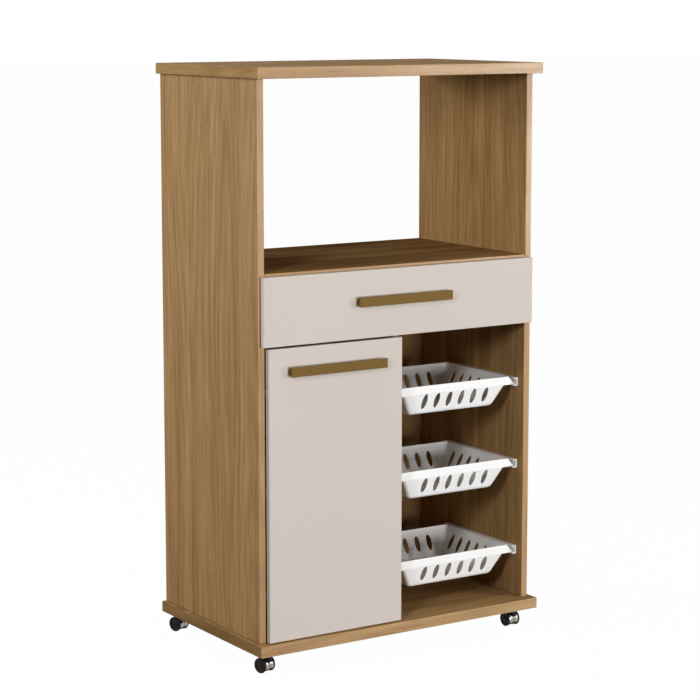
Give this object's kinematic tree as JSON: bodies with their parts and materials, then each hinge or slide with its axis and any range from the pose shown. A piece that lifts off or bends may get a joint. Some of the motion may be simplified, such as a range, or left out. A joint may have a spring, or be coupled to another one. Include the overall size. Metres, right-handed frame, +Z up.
{
  "type": "mobile kitchen cabinet",
  "caption": "Tall kitchen cabinet on casters with an open appliance niche, a drawer, a hinged door and slotted baskets that slide out on rails.",
  "frame": {"origin": "on the floor, under the middle of the whole outline", "axes": "+Z up, the fronts face -Y, +X towards the basket bay"},
  "size_m": [0.68, 0.4211, 1.193],
  "materials": {
    "wood_laminate": "matt laminate with a straight oak grain",
    "backing_board": "thin hardboard, wood-toned",
    "satin_front": "board with a satin greige surface",
    "old_gold": "satin old-gold coating",
    "white_plastic": "moulded white plastic, satin",
    "plated_steel": "bright plated steel",
    "chrome_hood": "polished plating",
    "black_wheel": "moulded black nylon"
  },
  "bodies": {
    "cabinet": {"top_board": "wood_laminate", "base_board": "wood_laminate", "side_panel_left": "wood_laminate", "side_panel_right": "wood_laminate", "divider_panel": "wood_laminate", "niche_shelf": "wood_laminate", "drawer_floor": "wood_laminate", "inner_shelf": "wood_laminate", "back_panel": "backing_board", "rail_top_left": "white_plastic", "rail_top_right": "white_plastic", "rail_middle_left": "white_plastic", "rail_middle_right": "white_plastic", "rail_bottom_left": "white_plastic", "rail_bottom_right": "white_plastic", "drawer_runner_left": "white_plastic", "drawer_runner_right": "white_plastic", "shelf_pin_left_front": "plated_steel", "shelf_pin_left_back": "plated_steel", "shelf_pin_right_front": "plated_steel", "shelf_pin_right_back": "plated_steel", "hinge_plate_upper": "plated_steel", "hinge_plate_lower": "plated_steel", "hinge_arm_upper": "plated_steel", "hinge_arm_lower": "plated_steel", "caster_front_left_plate": "plated_steel", "caster_front_right_plate": "plated_steel", "caster_back_left_plate": "plated_steel", "caster_back_right_plate": "plated_steel"},
    "door": {"door_panel": "satin_front", "door_handle": "old_gold", "hinge_cup_upper": "plated_steel", "hinge_cup_lower": "plated_steel"},
    "drawer": {"drawer_front": "satin_front", "drawer_handle": "old_gold", "drawer_side_left": "wood_laminate", "drawer_side_right": "wood_laminate", "drawer_back": "wood_laminate", "drawer_bottom": "backing_board"},
    "basket_top": {"basket_top": "white_plastic"},
    "basket_middle": {"basket_middle": "white_plastic"},
    "basket_bottom": {"basket_bottom": "white_plastic"},
    "caster_front_left_swivel": {"caster_front_left_hood": "chrome_hood", "caster_front_left_axle": "plated_steel"},
    "caster_front_left_wheel_left": {"caster_front_left_wheel_left": "black_wheel"},
    "caster_front_left_wheel_right": {"caster_front_left_wheel_right": "black_wheel"},
    "caster_front_right_swivel": {"caster_front_right_hood": "chrome_hood", "caster_front_right_axle": "plated_steel"},
    "caster_front_right_wheel_left": {"caster_front_right_wheel_left": "black_wheel"},
    "caster_front_right_wheel_right": {"caster_front_right_wheel_right": "black_wheel"},
    "caster_back_left_swivel": {"caster_back_left_hood": "chrome_hood", "caster_back_left_axle": "plated_steel"},
    "caster_back_left_wheel_left": {"caster_back_left_wheel_left": "black_wheel"},
    "caster_back_left_wheel_right": {"caster_back_left_wheel_right": "black_wheel"},
    "caster_back_right_swivel": {"caster_back_right_hood": "chrome_hood", "caster_back_right_axle": "plated_steel"},
    "caster_back_right_wheel_left": {"caster_back_right_wheel_left": "black_wheel"},
    "caster_back_right_wheel_right": {"caster_back_right_wheel_right": "black_wheel"}
  },
  "joints": [
    {"name": "door_hinge", "type": "hinge", "parent": "cabinet", "child": "door", "pos_m": [-0.3145, -0.1935, 0.362], "axis": [0, 0, -1], "range_deg": [0, 100]},
    {"name": "drawer_slide", "type": "slide", "parent": "cabinet", "child": "drawer", "axis": [0, -1, 0], "range_m": [0, 0.27]},
    {"name": "basket_top_slide", "type": "slide", "parent": "cabinet", "child": "basket_top", "axis": [0, -1, 0], "range_m": [0, 0.19]},
    {"name": "basket_middle_slide", "type": "slide", "parent": "cabinet", "child": "basket_middle", "axis": [0, -1, 0], "range_m": [0, 0.19]},
    {"name": "basket_bottom_slide", "type": "slide", "parent": "cabinet", "child": "basket_bottom", "axis": [0, -1, 0], "range_m": [0, 0.19]},
    {"name": "caster_front_left_turn", "type": "hinge", "parent": "cabinet", "child": "caster_front_left_swivel", "pos_m": [-0.3025, -0.1695, 0.0424], "axis": [0, 0, 1], "continuous": true},
    {"name": "caster_front_left_wheel_left_spin", "type": "hinge", "parent": "caster_front_left_swivel", "child": "caster_front_left_wheel_left", "pos_m": [-0.30581, -0.15796, 0.0155], "axis": [0.9613, 0.2756, 0], "continuous": true},
    {"name": "caster_front_left_wheel_right_spin", "type": "hinge", "parent": "caster_front_left_swivel", "child": "caster_front_left_wheel_right", "pos_m": [-0.30581, -0.15796, 0.0155], "axis": [0.9613, 0.2756, 0], "continuous": true},
    {"name": "caster_front_right_turn", "type": "hinge", "parent": "cabinet", "child": "caster_front_right_swivel", "pos_m": [0.3025, -0.1695, 0.0424], "axis": [0, 0, 1], "continuous": true},
    {"name": "caster_front_right_wheel_left_spin", "type": "hinge", "parent": "caster_front_right_swivel", "child": "caster_front_right_wheel_left", "pos_m": [0.30229, -0.1575, 0.0155], "axis": [0.9998, 0.0175, 0], "continuous": true},
    {"name": "caster_front_right_wheel_right_spin", "type": "hinge", "parent": "caster_front_right_swivel", "child": "caster_front_right_wheel_right", "pos_m": [0.30229, -0.1575, 0.0155], "axis": [0.9998, 0.0175, 0], "continuous": true},
    {"name": "caster_back_left_turn", "type": "hinge", "parent": "cabinet", "child": "caster_back_left_swivel", "pos_m": [-0.3025, 0.183, 0.0424], "axis": [0, 0, 1], "continuous": true},
    {"name": "caster_back_left_wheel_left_spin", "type": "hinge", "parent": "caster_back_left_swivel", "child": "caster_back_left_wheel_left", "pos_m": [-0.3066, 0.19428, 0.0155], "axis": [0.9397, 0.342, 0], "continuous": true},
    {"name": "caster_back_left_wheel_right_spin", "type": "hinge", "parent": "caster_back_left_swivel", "child": "caster_back_left_wheel_right", "pos_m": [-0.3066, 0.19428, 0.0155], "axis": [0.9397, 0.342, 0], "continuous": true},
    {"name": "caster_back_right_turn", "type": "hinge", "parent": "cabinet", "child": "caster_back_right_swivel", "pos_m": [0.3025, 0.183, 0.0424], "axis": [0, 0, 1], "continuous": true},
    {"name": "caster_back_right_wheel_left_spin", "type": "hinge", "parent": "caster_back_right_swivel", "child": "caster_back_right_wheel_left", "pos_m": [0.30125, 0.19493, 0.0155], "axis": [0.9945, 0.1045, 0], "continuous": true},
    {"name": "caster_back_right_wheel_right_spin", "type": "hinge", "parent": "caster_back_right_swivel", "child": "caster_back_right_wheel_right", "pos_m": [0.30125, 0.19493, 0.0155], "axis": [0.9945, 0.1045, 0], "continuous": true}
  ]
}
